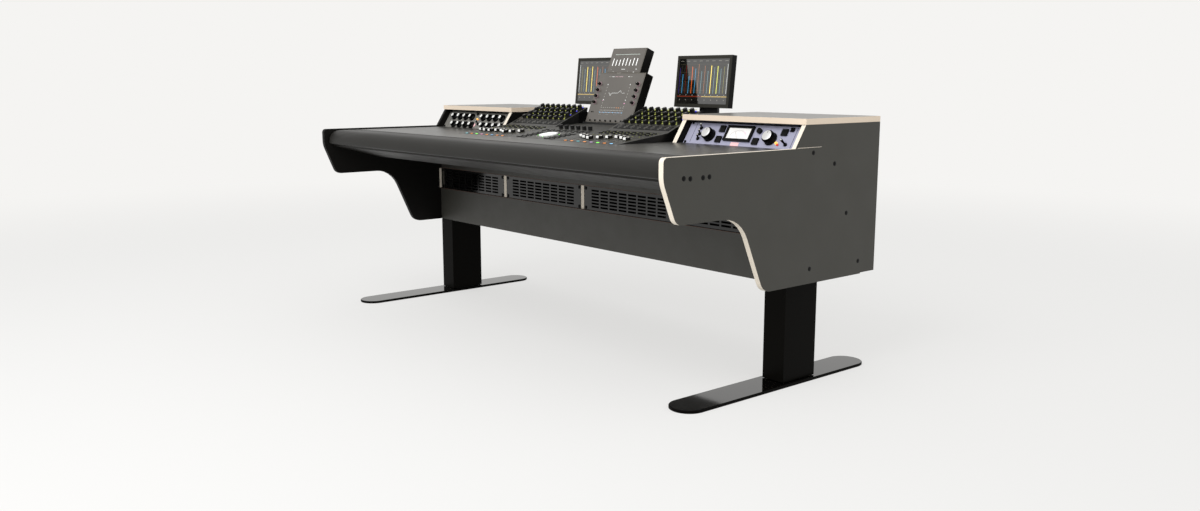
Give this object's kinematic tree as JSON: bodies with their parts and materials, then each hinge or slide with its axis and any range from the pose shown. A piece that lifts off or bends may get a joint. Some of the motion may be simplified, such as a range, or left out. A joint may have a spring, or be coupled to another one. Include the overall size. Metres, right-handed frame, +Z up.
{
  "type": "studio desk",
  "caption": "Height-adjustable studio mixing desk with a padded armrest, a sunk console with fader banks, sloped rack boxes, vented bays and displays on two T-legs.",
  "frame": {"origin": "on the floor, below the centre of the overall bounding box", "axes": "+X to the sitter's right, +Y away from the sitter, +Z up"},
  "size_m": [2.038, 0.969, 1.056],
  "materials": {
    "foot_plates": "gloss black",
    "posts": "satin black",
    "sleeves": "gloss black",
    "side_panels": "grey laminate on plywood",
    "worktop": "dark grey laminate",
    "lower_boards": "dark grey laminate",
    "plain_ply": "clear plywood edge",
    "top_boards": "grey laminate with pale edge",
    "armrest_pad": "matt dark leather",
    "vents": "satin black",
    "compressor": "lilac enamel",
    "compressor_knobs": "black with a silver face",
    "equaliser": "dark grey enamel",
    "console": "black satin",
    "fader_caps": "white",
    "jog_wheel": "white",
    "displays": "black satin",
    "stands": "satin black"
  },
  "bodies": {
    "base": {"foot_plate_left": "foot_plates", "foot_plate_right": "foot_plates", "leg_post_left": "posts", "leg_post_right": "posts"},
    "body": {"leg_sleeve_left": "sleeves", "leg_sleeve_right": "sleeves", "side_panel_left": "side_panels", "side_panel_right": "side_panels", "bottom_board": "lower_boards", "bay_floor": "lower_boards", "bay_roof": "lower_boards", "console_well_floor": "lower_boards", "modesty_panel": "lower_boards", "back_panel": "lower_boards", "bay_upright_1": "plain_ply", "bay_upright_2": "plain_ply", "bay_upright_3": "plain_ply", "vent_panel_1": "vents", "vent_panel_2": "vents", "vent_panel_3": "vents", "vent_panel_4": "vents", "front_soffit": "lower_boards", "armrest_pad": "armrest_pad", "armrest_board": "plain_ply", "worktop": "worktop", "rack_cheek_left": "plain_ply", "rack_cheek_right": "plain_ply", "top_board_left": "top_boards", "top_board_right": "top_boards", "compressor_unit": "compressor", "equaliser_unit": "equaliser", "fader_module_left": "console", "fader_module_right": "console", "centre_module": "console", "display_bracket": "stands", "monitor_stand_left": "stands", "monitor_stand_right": "stands"},
    "jog_wheel": {"jog_wheel": "jog_wheel"},
    "compressor_knob_1": {"compressor_knob_1": "compressor_knobs"},
    "compressor_knob_2": {"compressor_knob_2": "compressor_knobs"},
    "centre_display": {"centre_display": "displays"},
    "monitor_left": {"monitor_left": "displays"},
    "monitor_right": {"monitor_right": "displays"},
    "fader_left_1": {"fader_left_1": "fader_caps"},
    "fader_left_2": {"fader_left_2": "fader_caps"},
    "fader_left_3": {"fader_left_3": "fader_caps"},
    "fader_left_4": {"fader_left_4": "fader_caps"},
    "fader_left_5": {"fader_left_5": "fader_caps"},
    "fader_left_6": {"fader_left_6": "fader_caps"},
    "fader_left_7": {"fader_left_7": "fader_caps"},
    "fader_left_8": {"fader_left_8": "fader_caps"},
    "fader_right_1": {"fader_right_1": "fader_caps"},
    "fader_right_2": {"fader_right_2": "fader_caps"},
    "fader_right_3": {"fader_right_3": "fader_caps"},
    "fader_right_4": {"fader_right_4": "fader_caps"},
    "fader_right_5": {"fader_right_5": "fader_caps"},
    "fader_right_6": {"fader_right_6": "fader_caps"},
    "fader_right_7": {"fader_right_7": "fader_caps"},
    "fader_right_8": {"fader_right_8": "fader_caps"}
  },
  "joints": [
    {"name": "desk_lift", "type": "slide", "parent": "base", "child": "body", "axis": [0, 0, 1], "range_m": [0, 0.4]},
    {"name": "jog_spin", "type": "hinge", "parent": "body", "child": "jog_wheel", "pos_m": [0, -0.08719, 0.74139], "axis": [0, -0.1266, 0.9919], "continuous": true},
    {"name": "compressor_knob_1_turn", "type": "hinge", "parent": "body", "child": "compressor_knob_1", "pos_m": [0.62334, 0.10164, 0.75817], "axis": [0, -0.838, 0.5456], "range_deg": [-150, 150]},
    {"name": "compressor_knob_2_turn", "type": "hinge", "parent": "body", "child": "compressor_knob_2", "pos_m": [0.88249, 0.10164, 0.75817], "axis": [0, -0.838, 0.5456], "range_deg": [-150, 150]},
    {"name": "display_tilt", "type": "hinge", "parent": "body", "child": "centre_display", "pos_m": [0, 0.20641, 0.76011], "axis": [1, 0, 0], "range_deg": [-12, 15]},
    {"name": "monitor_left_tilt", "type": "hinge", "parent": "body", "child": "monitor_left", "pos_m": [-0.29822, 0.43509, 0.90323], "axis": [1, 0, 0], "range_deg": [-15, 5]},
    {"name": "monitor_right_tilt", "type": "hinge", "parent": "body", "child": "monitor_right", "pos_m": [0.29822, 0.43509, 0.90323], "axis": [1, 0, 0], "range_deg": [-15, 5]},
    {"name": "fader_left_1_slide", "type": "slide", "parent": "body", "child": "fader_left_1", "axis": [0, 0.9919, 0.1266], "range_m": [-0.044, 0.056]},
    {"name": "fader_left_2_slide", "type": "slide", "parent": "body", "child": "fader_left_2", "axis": [0, 0.9919, 0.1266], "range_m": [-0.039, 0.061]},
    {"name": "fader_left_3_slide", "type": "slide", "parent": "body", "child": "fader_left_3", "axis": [0, 0.9919, 0.1266], "range_m": [-0.038, 0.062]},
    {"name": "fader_left_4_slide", "type": "slide", "parent": "body", "child": "fader_left_4", "axis": [0, 0.9919, 0.1266], "range_m": [-0.046, 0.054]},
    {"name": "fader_left_5_slide", "type": "slide", "parent": "body", "child": "fader_left_5", "axis": [0, 0.9919, 0.1266], "range_m": [-0.047, 0.053]},
    {"name": "fader_left_6_slide", "type": "slide", "parent": "body", "child": "fader_left_6", "axis": [0, 0.9919, 0.1266], "range_m": [-0.032, 0.068]},
    {"name": "fader_left_7_slide", "type": "slide", "parent": "body", "child": "fader_left_7", "axis": [0, 0.9919, 0.1266], "range_m": [-0.041, 0.059]},
    {"name": "fader_left_8_slide", "type": "slide", "parent": "body", "child": "fader_left_8", "axis": [0, 0.9919, 0.1266], "range_m": [-0.058, 0.042]},
    {"name": "fader_right_1_slide", "type": "slide", "parent": "body", "child": "fader_right_1", "axis": [0, 0.9919, 0.1266], "range_m": [-0.051, 0.049]},
    {"name": "fader_right_2_slide", "type": "slide", "parent": "body", "child": "fader_right_2", "axis": [0, 0.9919, 0.1266], "range_m": [-0.035, 0.065]},
    {"name": "fader_right_3_slide", "type": "slide", "parent": "body", "child": "fader_right_3", "axis": [0, 0.9919, 0.1266], "range_m": [-0.023, 0.077]},
    {"name": "fader_right_4_slide", "type": "slide", "parent": "body", "child": "fader_right_4", "axis": [0, 0.9919, 0.1266], "range_m": [-0.039, 0.061]},
    {"name": "fader_right_5_slide", "type": "slide", "parent": "body", "child": "fader_right_5", "axis": [0, 0.9919, 0.1266], "range_m": [-0.051, 0.049]},
    {"name": "fader_right_6_slide", "type": "slide", "parent": "body", "child": "fader_right_6", "axis": [0, 0.9919, 0.1266], "range_m": [-0.063, 0.037]},
    {"name": "fader_right_7_slide", "type": "slide", "parent": "body", "child": "fader_right_7", "axis": [0, 0.9919, 0.1266], "range_m": [-0.054, 0.046]},
    {"name": "fader_right_8_slide", "type": "slide", "parent": "body", "child": "fader_right_8", "axis": [0, 0.9919, 0.1266], "range_m": [-0.039, 0.061]}
  ]
}
